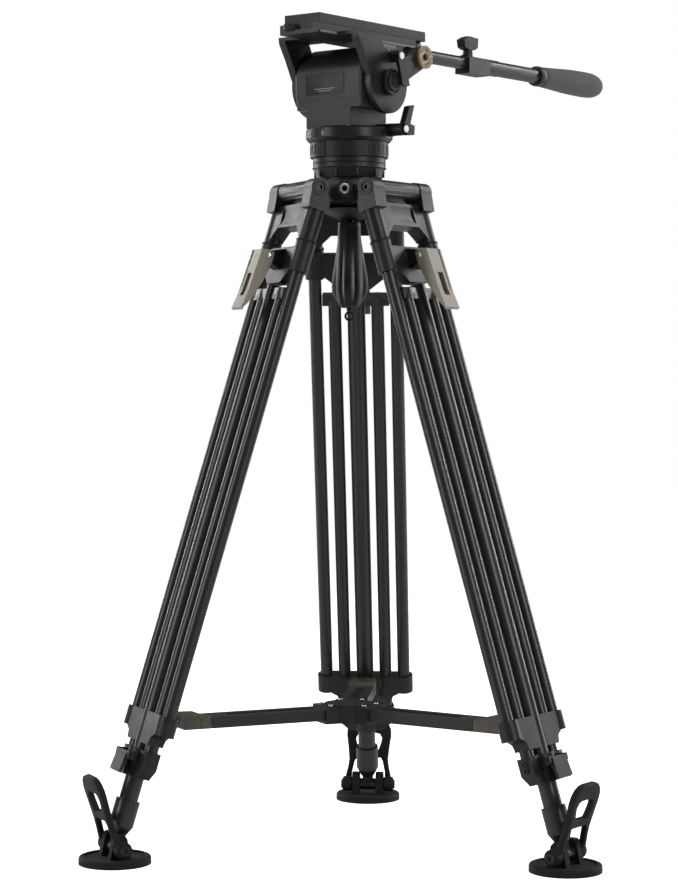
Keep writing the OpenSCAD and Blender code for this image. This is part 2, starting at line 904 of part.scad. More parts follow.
module camera_screw()
    color([0.60, 0.60, 0.62])
    in_head()
    translate([screw_x, 0, 0]) {
        translate([0, 0, platform_z + 8])
            cylinder(r = 9, h = 5);
        translate([0, 0, platform_z + 12])
            cylinder(r = screw_r - 0.4, h = plate_top + 1 - platform_z - 11.5);
        // free end that a camera screws on to
        translate([0, 0, plate_top + screw_up - screw_free])
            cylinder(r = screw_r, h = screw_free);
    }

module pan_bar()
    color([0.11, 0.11, 0.12])
    in_head() {
        bar_body();
        // clamp bolt with a square end, through the arm and the near rosette
        translate([rosette_x, 0, rosette_z]) {
            across(bolt_r - fit, -side_out - 3.4, -bar_y + bar_r);
            translate([-2.6, -side_out - 5.2, -2.6])
                cube([5.2, 3, 5.2]);
        }
    }

module bar_body()
    difference() {
        union() {
            translate([rosette_x, 0, rosette_z])
                across(rosette_r - 1, -side_in + gap, -side_in + 6);
            translate([rosette_x, 0, rosette_z])
                across(9, -side_in + 5, -bar_y + bar_r);
            translate([rosette_x - 8, -bar_y, bar_z])
                rotate([0, 90, 0])
                    cylinder(r = bar_r, h = collar_x + 36 - rosette_x);
            translate([rosette_x - 9, -bar_y - bar_r, rosette_z - 8])
                cube([30, 2 * bar_r, 14]);
            translate([collar_x, -bar_y, bar_z])
                rotate([0, 90, 0])
                    cylinder(r = bar_r + 2.2, h = 75);
            translate([collar_x, -bar_y - 11, bar_z - bar_r - 5])
                cube([46, 22, 20]);
            translate([collar_x + 12, -bar_y, bar_z])
                cylinder(r = 6.5, h = bar_r + 6);
        }
        translate([collar_x - 40, -bar_y, bar_z])
            rotate([0, 90, 0])
                cylinder(r = inner_r + fit, h = 200);
        translate([collar_x + 12, -bar_y, bar_z])
            cylinder(r = 2.5 + fit, h = 30);
        translate([rosette_x, 0, rosette_z])
            across(bolt_r - fit, -side_in + 1, -bar_y + bar_r + 1);
    }

module bar_extension()
    color([0.11, 0.11, 0.12])
    in_head()
    union() {
        translate([collar_x - 38, -bar_y, bar_z])
            rotate([0, 90, 0])
                cylinder(r = inner_r, h = grip_x + 100 - collar_x + 38);
        translate([collar_x + 75.5, -bar_y, bar_z])
            rotate([0, 90, 0])
                cylinder(r = 9.5, h = grip_x - collar_x - 75.5 - 0.3);
        translate([grip_x - 11, -bar_y, bar_z])
            rotate([0, 90, 0])
                cylinder(r1 = 10.5, r2 = 12, h = 10.7);
    }

module grip()
    color([0.36, 0.36, 0.37])
    in_head()
    translate([grip_x, -bar_y, bar_z])
        rotate([0, 90, 0])
            rotate([0, 0, 180])
                difference() {
                    rotate_extrude()
                        grip_outline();
                    translate([0, 0, -1])
                        cylinder(r = inner_r, h = 101);
                }

module grip_outline() {
    long = bar_l + rosette_x - grip_x;
    half = grip_d / 2;
    polygon([[0, 0], [12, 0], [13.2, 8], [half - 1.2, long * 0.35], [half - 0.2, long * 0.55],
        [half, long - 34], [half - 0.8, long - 22], [half - 3.2, long - 12], [half - 7, long - 5],
        [half - 12, long - 1], [0, long]]);
}

module clamp_screw()
    color([0.13, 0.13, 0.14])
    in_head()
    translate([collar_x + 12, -bar_y, bar_z]) {
        translate([0, 0, inner_r + 0.3])
            cylinder(r = 2.5, h = 14);
        translate([0, 0, bar_r + 6 + gap])
            cylinder(r = 6, h = 7);
        slab(-6, 6)
            polygon([[-14, bar_r + 12], [-16, bar_r + 21], [-5, bar_r + 26], [15, bar_r + 25],
                [14, bar_r + 13], [7, bar_r + 9.5], [-7, bar_r + 9.5]]);
    }

yoke(LEGS[0]);  // yoke_1
brace(LEGS[0]);  // brace_1
upper_tubes(LEGS[0]);  // upper_tubes_1
lower_casting(LEGS[0]);  // lower_casting_1
lock_lever(LEGS[0]);  // lock_lever_1
mid_tubes(LEGS[0]);  // mid_tubes_1
mid_block(LEGS[0]);  // mid_block_1
lower_lever(LEGS[0]);  // lower_lever_1
lower_leg(LEGS[0]);  // lower_leg_1
foot_pad(LEGS[0]);  // foot_pad_1
foot_strap(LEGS[0]);  // foot_strap_1
spreader_tip(LEGS[0]);  // spreader_tip_1
yoke(LEGS[1]);  // yoke_2
brace(LEGS[1]);  // brace_2
upper_tubes(LEGS[1]);  // upper_tubes_2
lower_casting(LEGS[1]);  // lower_casting_2
lock_lever(LEGS[1]);  // lock_lever_2
mid_tubes(LEGS[1]);  // mid_tubes_2
mid_block(LEGS[1]);  // mid_block_2
lower_lever(LEGS[1]);  // lower_lever_2
lower_leg(LEGS[1]);  // lower_leg_2
foot_pad(LEGS[1]);  // foot_pad_2
foot_strap(LEGS[1]);  // foot_strap_2
spreader_tip(LEGS[1]);  // spreader_tip_2
yoke(LEGS[2]);  // yoke_3
brace(LEGS[2]);  // brace_3
upper_tubes(LEGS[2]);  // upper_tubes_3
lower_casting(LEGS[2]);  // lower_casting_3
lock_lever(LEGS[2]);  // lock_lever_3
mid_tubes(LEGS[2]);  // mid_tubes_3
mid_block(LEGS[2]);  // mid_block_3
lower_lever(LEGS[2]);  // lower_lever_3
lower_leg(LEGS[2]);  // lower_leg_3
foot_pad(LEGS[2]);  // foot_pad_3
foot_strap(LEGS[2]);  // foot_strap_3
spreader_tip(LEGS[2]);  // spreader_tip_3
spreader_hub();
spreader_arms();
crown();
hinge_pins();
clamp_cup();
half_ball();
tie_handle();
drag_ring();
pan_housing();
pan_lever();
tilt_housing();
tilt_shaft();
platform();
side_plates();
rosettes();
drag_knob();
tilt_lever();
camera_plate();
camera_screw();
plate_lever();
pan_bar();
bar_extension();
grip();
clamp_screw();
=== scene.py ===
import json
import math

import bmesh
import bpy
from mathutils import Matrix, Vector


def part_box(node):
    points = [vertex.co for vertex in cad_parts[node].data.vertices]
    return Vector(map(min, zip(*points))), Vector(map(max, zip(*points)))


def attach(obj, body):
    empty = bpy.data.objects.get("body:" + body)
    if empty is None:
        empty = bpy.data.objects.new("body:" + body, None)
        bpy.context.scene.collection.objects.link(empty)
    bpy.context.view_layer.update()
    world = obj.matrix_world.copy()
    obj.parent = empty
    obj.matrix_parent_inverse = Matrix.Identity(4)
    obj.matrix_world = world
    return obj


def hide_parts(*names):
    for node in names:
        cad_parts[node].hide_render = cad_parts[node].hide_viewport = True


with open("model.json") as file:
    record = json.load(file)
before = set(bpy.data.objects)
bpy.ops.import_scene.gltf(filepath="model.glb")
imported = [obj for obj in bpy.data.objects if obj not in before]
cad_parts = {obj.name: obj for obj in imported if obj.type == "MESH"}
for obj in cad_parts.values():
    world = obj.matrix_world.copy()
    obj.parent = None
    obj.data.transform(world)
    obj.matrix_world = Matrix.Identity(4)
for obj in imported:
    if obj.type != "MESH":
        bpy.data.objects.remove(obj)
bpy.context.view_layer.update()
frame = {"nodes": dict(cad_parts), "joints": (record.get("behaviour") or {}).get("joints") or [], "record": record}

MM = 0.001
UP = Vector((0, 0, 1))
LEGS = (1, 2, 3)
JOINTS = {joint["name"]: joint for joint in frame["joints"]}
SLOTS = {part["node"]: part["material_slot"] for part in frame["record"]["subparts"]}


# ---------------------------------------------------------------- frames

def axes(origin, x, z):
    """A frame at origin whose local X runs along x and local Z along z."""
    x = Vector(x).normalized()
    z = Vector(z).normalized()
    y = z.cross(x)
    matrix = Matrix((x, y, z)).transposed().to_4x4()
    matrix.translation = Vector(origin)
    return matrix


def joint_point(name):
    return Vector(JOINTS[name]["pos_m"])


def joint_axis(name):
    return Vector(JOINTS[name]["axis"])


def leg_frame(i):
    """Frame at a leg's hinge: X out, Y along the hinge pin, Z up the leg."""
    down = joint_axis(f"middle_slide_{i}")
    along_pin = -joint_axis(f"splay_{i}")
    return axes(joint_point(f"splay_{i}"), down.cross(along_pin), -down)


def head_frame():
    """Frame under the tilt axis at floor height: X to the operator, Y to the far side."""
    origin = joint_point("tilt_turn")
    origin.z = 0
    return axes(origin, joint_axis("plate_slide"), UP)


def at(base, x, y, z):
    """base moved by millimetres along its own axes."""
    return base @ Matrix.Translation(Vector((x, y, z)) * MM)


def facing(base, x, y, z, normal, spin=0.0):
    """A frame at a point of base, given in millimetres, whose Z runs along a local normal."""
    normal = Vector(normal).normalized()
    side = Vector((0, 0, 1)) if abs(normal.z) < 0.9 else Vector((1, 0, 0))
    local = axes((x * MM, y * MM, z * MM), side.cross(normal), normal)
    return base @ local @ Matrix.Rotation(spin, 4, "Z")


HEAD = head_frame()
LEG = {i: leg_frame(i) for i in LEGS}
TILT_Z = joint_point("tilt_turn").z / MM
BALL_Z = joint_point("level_side").z / MM
TUBE_IN = 7.0
OUTER_HALF = 51.0
KNUCKLE_OUT = 63.0
SIDE_OUT = 60.0


# ---------------------------------------------------------------- shader groups

def new_group(name, outputs):
    """A shader group with a Scale input and float outputs; gives its tree and end sockets."""
    tree = bpy.data.node_groups.new(name, "ShaderNodeTree")
    scale = tree.interface.new_socket("Scale", in_out="INPUT", socket_type="NodeSocketFloat")
    scale.default_value = 1000.0
    for output in outputs:
        tree.interface.new_socket(output, in_out="OUTPUT", socket_type="NodeSocketFloat")
    start = tree.nodes.new("NodeGroupInput")
    end = tree.nodes.new("NodeGroupOutput")
    return tree, start, end


def node(tree, kind, **values):
    """A node with some properties or input defaults set."""
    made = tree.nodes.new(kind)
    for key, value in values.items():
        if key in made.inputs:
            made.inputs[key].default_value = value
        else:
            setattr(made, key, value)
    return made


def link(tree, a, b):
    tree.links.new(a, b)


def math_node(tree, operation, a, b=None):
    made = node(tree, "ShaderNodeMath", operation=operation)
    for socket, value in zip(made.inputs, (a, b)):
        if value is None:
            continue
        if isinstance(value, (int, float)):
            socket.default_value = value
        else:
            link(tree, value, socket)
    return made.outputs[0]


def stretch(tree, value, low, high, to_low=0.0, to_high=1.0):
    made = node(tree, "ShaderNodeMapRange")
    for key, number in (("From Min", low), ("From Max", high), ("To Min", to_low), ("To Max", to_high)):
        made.inputs[key].default_value = number
    link(tree, value, made.inputs["Value"])
    return made.outputs["Result"]


def noise(tree, coords, scale, detail=3.0, rough=0.55):
    made = node(tree, "ShaderNodeTexNoise", Detail=detail, Roughness=rough)
    link(tree, coords, made.inputs["Vector"])
    if isinstance(scale, (int, float)):
        made.inputs["Scale"].default_value = scale
    else:
        link(tree, scale, made.inputs["Scale"])
    return made.outputs[0]


def object_coords(tree):
    return node(tree, "ShaderNodeTexCoord").outputs["Object"]


def grain_group():
    """Fine bead-blasted grain with slow shade changes, for paint and moulded plastic."""
    tree, start, end = new_group("surface_grain", ("Height", "Shade"))
    coords = object_coords(tree)
    fine = noise(tree, coords, start.outputs["Scale"], 4.0, 0.6)
    slow = noise(tree, coords, 34.0, 3.0, 0.5)
    link(tree, fine, end.inputs["Height"])
    mixed = math_node(tree, "ADD", math_node(tree, "MULTIPLY", fine, 0.45),
                      math_node(tree, "MULTIPLY", slow, 0.55))
    link(tree, stretch(tree, mixed, 0.35, 0.65), end.inputs["Shade"])
    return tree


def wear_and_highlight_group():
    """Mask of rubbed corners that also serves as a painted edge highlight, broken up by noise."""
    tree, start, end = new_group("corner_wear_and_highlight", ("Mask",))
    geometry = node(tree, "ShaderNodeNewGeometry")
    corner = stretch(tree, geometry.outputs["Pointiness"], 0.515, 0.60)
    patches = stretch(tree, noise(tree, object_coords(tree), start.outputs["Scale"], 5.0, 0.7), 0.42, 0.66)
    link(tree, math_node(tree, "MULTIPLY", corner, patches), end.inputs["Mask"])
    return tree


def dust_group():
    """Mask of fine dust that settles on faces that look up."""
    tree, start, end = new_group("settled_dust", ("Mask",))
    geometry = node(tree, "ShaderNodeNewGeometry")
    split = node(tree, "ShaderNodeSeparateXYZ")
    link(tree, geometry.outputs["Normal"], split.inputs[0])
    upward = stretch(tree, split.outputs["Z"], 0.35, 1.0)
    specks = stretch(tree, noise(tree, object_coords(tree), start.outputs["Scale"], 6.0, 0.65), 0.45, 0.75)
    link(tree, math_node(tree, "MULTIPLY", upward, specks), end.inputs["Mask"])
    return tree


def weave_group():
    """Twill of two crossing bands, for the fibre-wrapped tubes."""
    tree, start, end = new_group("fibre_weave", ("Height", "Shade"))
    split = node(tree, "ShaderNodeSeparateXYZ")
    link(tree, object_coords(tree), split.inputs[0])
    across = math_node(tree, "ADD", split.outputs["X"], split.outputs["Y"])
    bands = []
    for operation in ("ADD", "SUBTRACT"):
        diagonal = math_node(tree, operation, split.outputs["Z"], across)
        phase = math_node(tree, "MULTIPLY", diagonal, start.outputs["Scale"])
        bands.append(math_node(tree, "SINE", phase))
    woven = math_node(tree, "MULTIPLY", bands[0], bands[1])
    broken = noise(tree, object_coords(tree), 260.0, 3.0, 0.5)
    shade = math_node(tree, "ADD", stretch(tree, woven, -1.0, 1.0, 0.2, 0.8),
                      math_node(tree, "MULTIPLY", broken, 0.3))
    link(tree, stretch(tree, woven, -1.0, 1.0), end.inputs["Height"])
    link(tree, shade, end.inputs["Shade"])
    return tree


def foam_group():
    """Closed cells of a foam grip."""
    tree, start, end = new_group("foam_cells", ("Height", "Shade"))
    coords = object_coords(tree)
    cells = node(tree, "ShaderNodeTexVoronoi")
    link(tree, coords, cells.inputs["Vector"])
    link(tree, start.outputs["Scale"], cells.inputs["Scale"])
    pits = stretch(tree, cells.outputs["Distance"], 0.05, 0.6)
    slow = noise(tree, coords, 90.0, 4.0, 0.6)
    link(tree, math_node(tree, "ADD", pits, math_node(tree, "MULTIPLY", slow, 0.6)), end.inputs["Height"])
    link(tree, stretch(tree, math_node(tree, "ADD", pits, slow), 0.5, 1.5), end.inputs["Shade"])
    return tree


def turned_group():
    """Fine rings and streaks of turned or brushed metal."""
    tree, start, end = new_group("turned_metal", ("Height", "Shade"))
    mapping = node(tree, "ShaderNodeMapping", Scale=(1.0, 1.0, 14.0))
    link(tree, object_coords(tree), mapping.inputs["Vector"])
    streaks = noise(tree, mapping.outputs["Vector"], start.outputs["Scale"], 3.0, 0.6)
    link(tree, streaks, end.inputs["Height"])
    link(tree, stretch(tree, streaks, 0.3, 0.7), end.inputs["Shade"])
    return tree


GROUPS = {
    "grain": grain_group(), "wear_and_highlight": wear_and_highlight_group(), "dust": dust_group(),
    "weave": weave_group(), "foam": foam_group(), "turned": turned_group(),
}


def use_group(tree, key, scale):
    made = node(tree, "ShaderNodeGroup")
    made.node_tree = GROUPS[key]
    made.inputs["Scale"].default_value = scale
    return made


def mix_colour(tree, factor, a, b):
    made = node(tree, "ShaderNodeMix", data_type="RGBA")
    for socket, value in ((made.inputs["Factor"], factor), (made.inputs[6], a), (made.inputs[7], b)):
        if isinstance(value, tuple):
            socket.default_value = value
        else:
            link(tree, value, socket)
    return made.outputs[2]


def grey(value, warm=0.0):
    return (value * (1 + warm), value, value * (1 - warm), 1.0)


def finish_material(name, relief, scale, dark, light, rough, bump, metallic=0.0, coat=0.0,
                    gloss=0.5, worn_and_highlight_colour=None, wear_and_highlight=0.0, dust=0.0, sheen=0.0):
    """A painted, moulded, woven or turned surface from the shared groups."""
    material = bpy.data.materials.new(name)
    material.use_nodes = True
    tree = material.node_tree
    shader = tree.nodes["Principled BSDF"]
    surface = use_group(tree, relief, scale)
    colour = mix_colour(tree, surface.outputs["Shade"], dark, light)
    # Corners mixed towards a lighter colour: partly rubbed paint, partly a painted edge highlight.
    if worn_and_highlight_colour is not None:
        corners = use_group(tree, "wear_and_highlight", 420.0)
        colour = mix_colour(tree, math_node(tree, "MULTIPLY", corners.outputs["Mask"], wear_and_highlight), colour, worn_and_highlight_colour)
    if dust > 0:
        settled = use_group(tree, "dust", 700.0)
        amount = math_node(tree, "MULTIPLY", settled.outputs["Mask"], dust)
        colour = mix_colour(tree, amount, colour, grey(0.30, 0.04))
    link(tree, colour, shader.inputs["Base Color"])
    roughness = stretch(tree, surface.outputs["Shade"], 0.0, 1.0, rough[0], rough[1])
    link(tree, roughness, shader.inputs["Roughness"])
    shader.inputs["Metallic"].default_value = metallic
    shader.inputs["Coat Weight"].default_value = coat
    shader.inputs["Coat Roughness"].default_value = 0.35
    shader.inputs["Sheen Weight"].default_value = sheen
    shader.inputs["Specular IOR Level"].default_value = gloss
    relief_node = node(tree, "ShaderNodeBump", Strength=bump, Distance=0.0002)
    link(tree, surface.outputs["Height"], relief_node.inputs["Height"])
    link(tree, relief_node.outputs["Normal"], shader.inputs["Normal"])
    return material


def make_materials():
    # Lighter colour for rubbed corners, also used as a painted edge highlight.
    worn_and_highlight_colour = grey(0.085, 0.03)
    return {
        "casting": finish_material("satin_black_paint", "grain", 1500.0, grey(0.0040), grey(0.0090),
                                   (0.36, 0.50), 0.35, gloss=0.32, worn_and_highlight_colour=worn_and_highlight_colour, wear_and_highlight=0.45, dust=0.02),
        "carbon_tube": finish_material("fibre_tube", "weave", 2400.0, grey(0.0045), grey(0.0095),
                                       (0.30, 0.40), 0.12, gloss=0.50, dust=0.01),
        "khaki_lever": finish_material("khaki_paint", "grain", 1300.0, (0.150, 0.130, 0.098, 1.0),
                                       (0.225, 0.198, 0.152, 1.0), (0.40, 0.55), 0.30, gloss=0.4,
                                       worn_and_highlight_colour=(0.36, 0.34, 0.29, 1.0), wear_and_highlight=0.6, dust=0.04),
        "olive_tip": finish_material("olive_brown_paint", "grain", 1300.0, (0.030, 0.026, 0.018, 1.0),
                                     (0.070, 0.060, 0.042, 1.0), (0.40, 0.55), 0.35, gloss=0.35,
                                     worn_and_highlight_colour=(0.26, 0.23, 0.17, 1.0), wear_and_highlight=0.6, dust=0.03),
        "black_plastic": finish_material("grained_plastic", "grain", 2100.0, grey(0.0045), grey(0.0090),
                                         (0.42, 0.58), 0.5, gloss=0.28, worn_and_highlight_colour=grey(0.05), wear_and_highlight=0.3, dust=0.02),
        "foot_rubber": finish_material("moulded_rubber", "grain", 1700.0, grey(0.0035), grey(0.0075),
                                       (0.58, 0.74), 0.5, gloss=0.22, dust=0.03, sheen=0.02),
        "spreader_tube": finish_material("satin_bar_paint", "grain", 1900.0, grey(0.0060), grey(0.0115),
                                         (0.36, 0.50), 0.30, gloss=0.32, worn_and_highlight_colour=worn_and_highlight_colour, wear_and_highlight=0.4, dust=0.02),
        "steel": finish_material("turned_steel", "turned", 900.0, grey(0.42), grey(0.60),
                                 (0.22, 0.36), 0.25, metallic=1.0),
        "dark_steel": finish_material("blackened_steel", "turned", 900.0, grey(0.012), grey(0.022),
                                      (0.30, 0.42), 0.25, gloss=0.4),
        "head_metal": finish_material("charcoal_paint", "grain", 1600.0, grey(0.0042), grey(0.0092),
                                      (0.34, 0.48), 0.32, gloss=0.34, worn_and_highlight_colour=worn_and_highlight_colour, wear_and_highlight=0.45, dust=0.02),
        "grey_rail": finish_material("dark_anodised_rail", "grain", 2200.0, grey(0.0060), grey(0.0100),
                                     (0.36, 0.48), 0.08, gloss=0.35, worn_and_highlight_colour=grey(0.08), wear_and_highlight=0.15, dust=0.01),
        "rosette_gold": finish_material("tan_anodised", "turned", 800.0, (0.34, 0.26, 0.16, 1.0),
                                        (0.50, 0.40, 0.27, 1.0), (0.28, 0.42), 0.2, metallic=0.6),
        "plate_metal": finish_material("anodised_plate", "grain", 2200.0, grey(0.0045), grey(0.0080),
                                       (0.40, 0.52), 0.08, gloss=0.3, worn_and_highlight_colour=worn_and_highlight_colour, wear_and_highlight=0.2, dust=0.01),
        "bar_metal": finish_material("anodised_bar", "grain", 1900.0, grey(0.0040), grey(0.0080),
                                     (0.32, 0.44), 0.20, gloss=0.36, worn_and_highlight_colour=worn_and_highlight_colour, wear_and_highlight=0.4),
        "foam_grip": finish_material("closed_foam", "foam", 950.0, grey(0.048), grey(0.080),
                                     (0.78, 0.92), 0.6, gloss=0.25, sheen=0.08, dust=0.03),
        "white_mark": finish_material("white_plastic", "grain", 2200.0, grey(0.72), grey(0.82),
                                      (0.35, 0.45), 0.15),
        "bright_ring": finish_material("bright_nickel", "turned", 900.0, grey(0.70), grey(0.84),
                                       (0.20, 0.30), 0.15, metallic=0.9),
        # Near-black material put where shade falls, in the flange groove and on the arm tops: painted shade.
        "painted_shade_black": finish_material("painted_shade_black", "grain", 1500.0, grey(0.002), grey(0.004),
                                       (0.6, 0.7), 0.2, gloss=0.15),
        "light_metal": finish_material("light_grey_metal", "turned", 800.0, grey(0.10), grey(0.17),
                                       (0.34, 0.46), 0.1, metallic=0.3, worn_and_highlight_colour=grey(0.4), wear_and_highlight=0.4),
    }


MATERIALS = make_materials()


# ---------------------------------------------------------------- mesh helpers

def add_piece(name, mesh_data, material, body, place=None, smooth_angle=35.0):
    """Makes an object from a bmesh, puts it in place, and lets it ride on a body."""
    if place is not None:
        mesh_data.transform(place)
    bmesh.ops.recalc_face_normals(mesh_data, faces=mesh_data.faces)
    mesh = bpy.data.meshes.new(name)
    limit = math.radians(smooth_angle)
    for face in mesh_data.faces:
        face.smooth = True
    for edge in mesh_data.edges:
        if len(edge.link_faces) == 2 and edge.calc_face_angle() > limit:
            edge.smooth = False
    mesh_data.to_mesh(mesh)
    mesh_data.free()
    mesh.materials.append(MATERIALS[material])
    piece = bpy.data.objects.new(name, mesh)
    bpy.context.scene.collection.objects.link(piece)
    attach(piece, body)
    return piece


def lathe(profile, segments=64, closed=False):
    """Turns a profile of (radius, height) in millimetres about Z."""
    made = bmesh.new()
    rows = []
    for radius, height in profile:
        if radius < 1e-6:
            rows.append([made.verts.new((0, 0, height * MM))])
            continue
        rows.append([
            made.verts.new((radius * MM * math.cos(math.tau * k / segments),
                            radius * MM * math.sin(math.tau * k / segments), height * MM))
            for k in range(segments)])
    pairs = list(zip(rows, rows[1:]))
    if closed:
        pairs.append((rows[-1], rows[0]))
    for low, high in pairs:
        for k in range(segments):
            n = (k + 1) % segments
            corners = [low[k % len(low)], low[n % len(low)], high[n % len(high)], high[k % len(high)]]
            unique = list(dict.fromkeys(corners))
            if len(unique) > 2:
                made.faces.new(unique)
    return made


def extrude_outline(points, height, chamfer=0.0, steps=2):
    """A flat outline in millimetres, raised along Z, with rounded edges."""
    made = bmesh.new()
    base = [made.verts.new((x * MM, y * MM, 0)) for x, y in points]
    face = made.faces.new(base)
    raised = bmesh.ops.extrude_face_region(made, geom=[face])
    moved = [item for item in raised["geom"] if isinstance(item, bmesh.types.BMVert)]
    bmesh.ops.translate(made, verts=moved, vec=(0, 0, height * MM))
    if chamfer > 0:
        bmesh.ops.bevel(made, geom=list(made.edges), offset=chamfer * MM, segments=steps,
                        profile=0.6, affect="EDGES", clamp_overlap=True)
    return made


def rounded_rectangle(width, depth, radius, steps=6):
    """Outline of a rectangle with round corners, centred on the origin."""
    points = []
    for quarter, (sx, sy) in enumerate(((1, 1), (-1, 1), (-1, -1), (1, -1))):
        for k in range(steps + 1):
            angle = math.pi / 2 * (quarter + k / steps)
            points.append((sx * (width / 2 - radius) + radius * math.cos(angle),
                           sy * (depth / 2 - radius) + radius * math.sin(angle)))
    return points


def socket_screw(radius, height):
    """Screw head with a chamfered rim and a hexagonal socket."""
    made = lathe([(radius, 0), (radius, height - 0.5), (radius - 0.5, height), (radius * 0.55, height)], 24)
    rim = [v for v in made.verts if abs(v.co.z - height * MM) < 1e-7
           and v.co.xy.length < radius * 0.6 * MM]
    for v in rim:
        step = math.tau / 6
        angle = math.atan2(v.co.y, v.co.x) % step - step / 2
        reach = radius * 0.5 * MM * math.cos(step / 2) / math.cos(angle)
        v.co.xy = v.co.xy.normalized() * reach
    edges = [e for e in made.edges if e.is_boundary and all(v in rim for v in e.verts)]
    sunk = bmesh.ops.extrude_edge_only(made, edges=edges)
    low = [item for item in sunk["geom"] if isinstance(item, bmesh.types.BMVert)]
    bmesh.ops.translate(made, verts=low, vec=(0, 0, -height * 0.7 * MM))
    bmesh.ops.contextual_create(made, geom=low)
    return made


# ---------------------------------------------------------------- carried-over CAD pieces

def soften(cad_node, width, angle=32.0):
    """Rounds the crisp edges of a CAD piece with modifiers; its mesh stays as it is."""
    weld = cad_node.modifiers.new("weld", "WELD")
    weld.merge_threshold = 0.00001
    bevel = cad_node.modifiers.new("edge_round", "BEVEL")
    bevel.width = width * MM
    bevel.segments = 2
    bevel.limit_method = "ANGLE"
    bevel.angle_limit = math.radians(angle)
    bevel.use_clamp_overlap = True
    bevel.harden_normals = False
    normals = cad_node.modifiers.new("even_normals", "WEIGHTED_NORMAL")
    normals.keep_sharp = False
    normals.weight = 60


EDGE = {
    "yoke": 1.6, "brace": 1.2, "lower_casting": 1.4, "mid_block": 1.2, "lock_lever": 0.8,
    "foot_pad": 1.2, "spreader_tip": 1.0, "spreader_hub": 1.2, "spreader_arms": 0.8, "crown": 1.5,
    "pan_housing": 1.6, "tilt_housing": 2.2, "side_plates": 1.0, "platform": 0.7,
    "camera_plate": 0.7, "pan_bar": 1.0, "lower_lever": 0.8, "rosettes": 0.15,
}


LOOK = {"spreader_tip": "olive_tip", "hinge_pins": "dark_steel", "tilt_shaft": "dark_steel",
        "plate_lever": "light_metal"}


def dress_cad_nodes():
    for name, cad_node in frame["nodes"].items():
        base = name[:-2] if name[-2:] in ("_1", "_2", "_3") else name
        cad_node.data.materials.clear()
        cad_node.data.materials.append(MATERIALS[LOOK.get(base, SLOTS[name])])
        soften(cad_node, EDGE.get(base, 0.5))


# ---------------------------------------------------------------- legs

def seam_ring(i, side):
    """Rubber ring in the joint between a yoke arm and the clamp sleeve."""
    ring = lathe([(9.0, -1.2), (12.2, -1.2), (12.7, -0.5), (12.7, 0.5), (12.2, 1.2), (9.0, 1.2)], 48, True)
    place = at(LEG[i], -TUBE_IN, side * OUTER_HALF, -65.0)
    add_piece(f"seam_ring_{i}_{'lr'[side > 0]}", ring, "foot_rubber", f"leg_{i}", place)


def knuckle_washer(i, side):
    """Turned washer round the hexagonal socket of a hinge pin."""
    ring = lathe([(5.3, 0), (9.6, 0), (9.6, 0.7), (9.0, 1.2), (7.6, 1.2), (7.3, 0.8), (6.6, 0.8),
                  (6.3, 1.2), (5.6, 1.2), (5.3, 0.9)], 48, True)
    place = facing(LEG[i], 0, side * KNUCKLE_OUT, 0, (0, side, 0))
    add_piece(f"knuckle_washer_{i}_{'lr'[side > 0]}", ring, "casting", f"leg_{i}", place)


def lever_pin_cap(i, side):
    """Bright domed end of a lock lever's pin."""
    cap = lathe([(2.9, 0), (2.9, 0.5), (2.4, 1.0), (1.2, 1.35), (0, 1.45)], 24)
    lock = joint_point(f"leg_lock_turn_{i}")
    local = LEG[i].inverted() @ lock / MM
    place = facing(LEG[i], local.x, side * 16.5, local.z, (0, side, 0))
    add_piece(f"lever_pin_cap_{i}_{'lr'[side > 0]}", cap, "bright_ring", f"leg_lock_{i}", place)


def block_screws(i):
    """Two clamp screws in the side of the middle block."""
    pin = LEG[i].inverted() @ joint_point(f"middle_lock_turn_{i}") / MM
    for k, drop in enumerate((-2.0, -10.0)):
        place = facing(LEG[i], -TUBE_IN, -36.0, pin.z + 4.0 + drop, (0, -1, 0))
        add_piece(f"block_screw_{i}_{k}", socket_screw(3.2, 3.0), "black_plastic", f"middle_{i}",
                  place)


def ankle_nut(i, side):
    """Socket-headed nut on the end of the ankle axle."""
    foot = axes(joint_point(f"ankle_{i}"), (joint_point(f"ankle_{i}") * Vector((1, 1, 0))), UP)
    place = facing(foot, 0, side * 33.4, 0, (0, side, 0))
    add_piece(f"ankle_nut_{i}_{'lr'[side > 0]}", socket_screw(6.2, 2.6), "black_plastic", f"foot_{i}",
              place)


def pad_tread(i):
    """Raised rings and a rounded rim on a foot pad."""
    centre = joint_point(f"ankle_{i}")
    radius = 42.5
    rings = lathe([(radius - 8.6, 7.3), (radius - 6.4, 7.3), (radius - 5.2, 9.0), (radius - 3.0, 9.4),
                   (radius - 1.0, 8.6), (radius - 0.2, 6.6), (radius - 0.6, 3.0),
                   (radius - 6.0, 2.6)], 96, True)
    place = Matrix.Translation((centre.x, centre.y, 0))
    add_piece(f"pad_rim_{i}", rings, "foot_rubber", f"foot_{i}", place)


def strap_outline():
    """Outer edge and finger hole of a rubber strap, in the plane it leans in."""
    right = [(32.5, 0), (31.2, 8), (27.5, 24), (26.2, 34), (28.0, 52), (30.0, 66), (29.6, 75), (26.0, 82.5),
             (20.0, 87.6), (12.0, 89.6)]
    inner = [(16, 36), (19.0, 31), (22.2, 16), (22.2, 0)]
    outer = [(-y, z) for y, z in right] + right[::-1] + inner[::-1] + [(-y, z) for y, z in inner]
    hole = [(13, 46), (16.4, 56), (17.6, 62.5), (14.6, 68), (9, 69.6)]
    return outer, hole + [(-y, z) for y, z in hole[::-1]]


